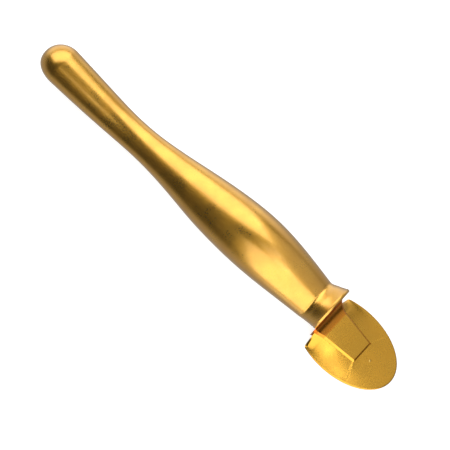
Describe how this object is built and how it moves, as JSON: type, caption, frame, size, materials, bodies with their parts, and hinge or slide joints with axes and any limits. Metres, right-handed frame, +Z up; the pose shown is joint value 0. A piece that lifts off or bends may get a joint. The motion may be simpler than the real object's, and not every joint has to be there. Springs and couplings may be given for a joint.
{
  "type": "glass cutter",
  "caption": "Hand glass cutter with a waisted brass grip, a flared collar and a thin oval foot that carries a small scoring wheel.",
  "frame": {"origin": "on the glass surface under the wheel's lowest point, midway between the butt and the tip of the foot", "axes": "+X from the butt of the grip to the tip of the foot, +Z up from the glass; the tool is symmetric about Y = 0"},
  "size_m": [0.162, 0.0266, 0.0215],
  "materials": {
    "brass": "satin polished, finely scratched",
    "worn_brass": "dull, turned",
    "steel": "turned",
    "carbide": "ground, dark grey"
  },
  "bodies": {
    "tool": {"handle_grip": "brass", "neck_ferrule": "brass", "tang_stud": "steel", "thread_insert": "steel", "lock_screw": "steel", "head_block": "brass", "foot_shoe": "brass", "wheel_carrier": "steel", "wheel_axle": "steel", "sight_pin": "worn_brass", "foot_screw_1": "worn_brass", "foot_screw_2": "worn_brass", "foot_screw_3": "worn_brass", "foot_screw_4": "worn_brass"},
    "wheel": {"cutting_wheel": "carbide"}
  },
  "joints": [
    {"name": "wheel_spin", "type": "hinge", "parent": "tool", "child": "wheel", "pos_m": [0.0553, 0, 0.0016], "axis": [0, 1, 0], "continuous": true}
  ]
}
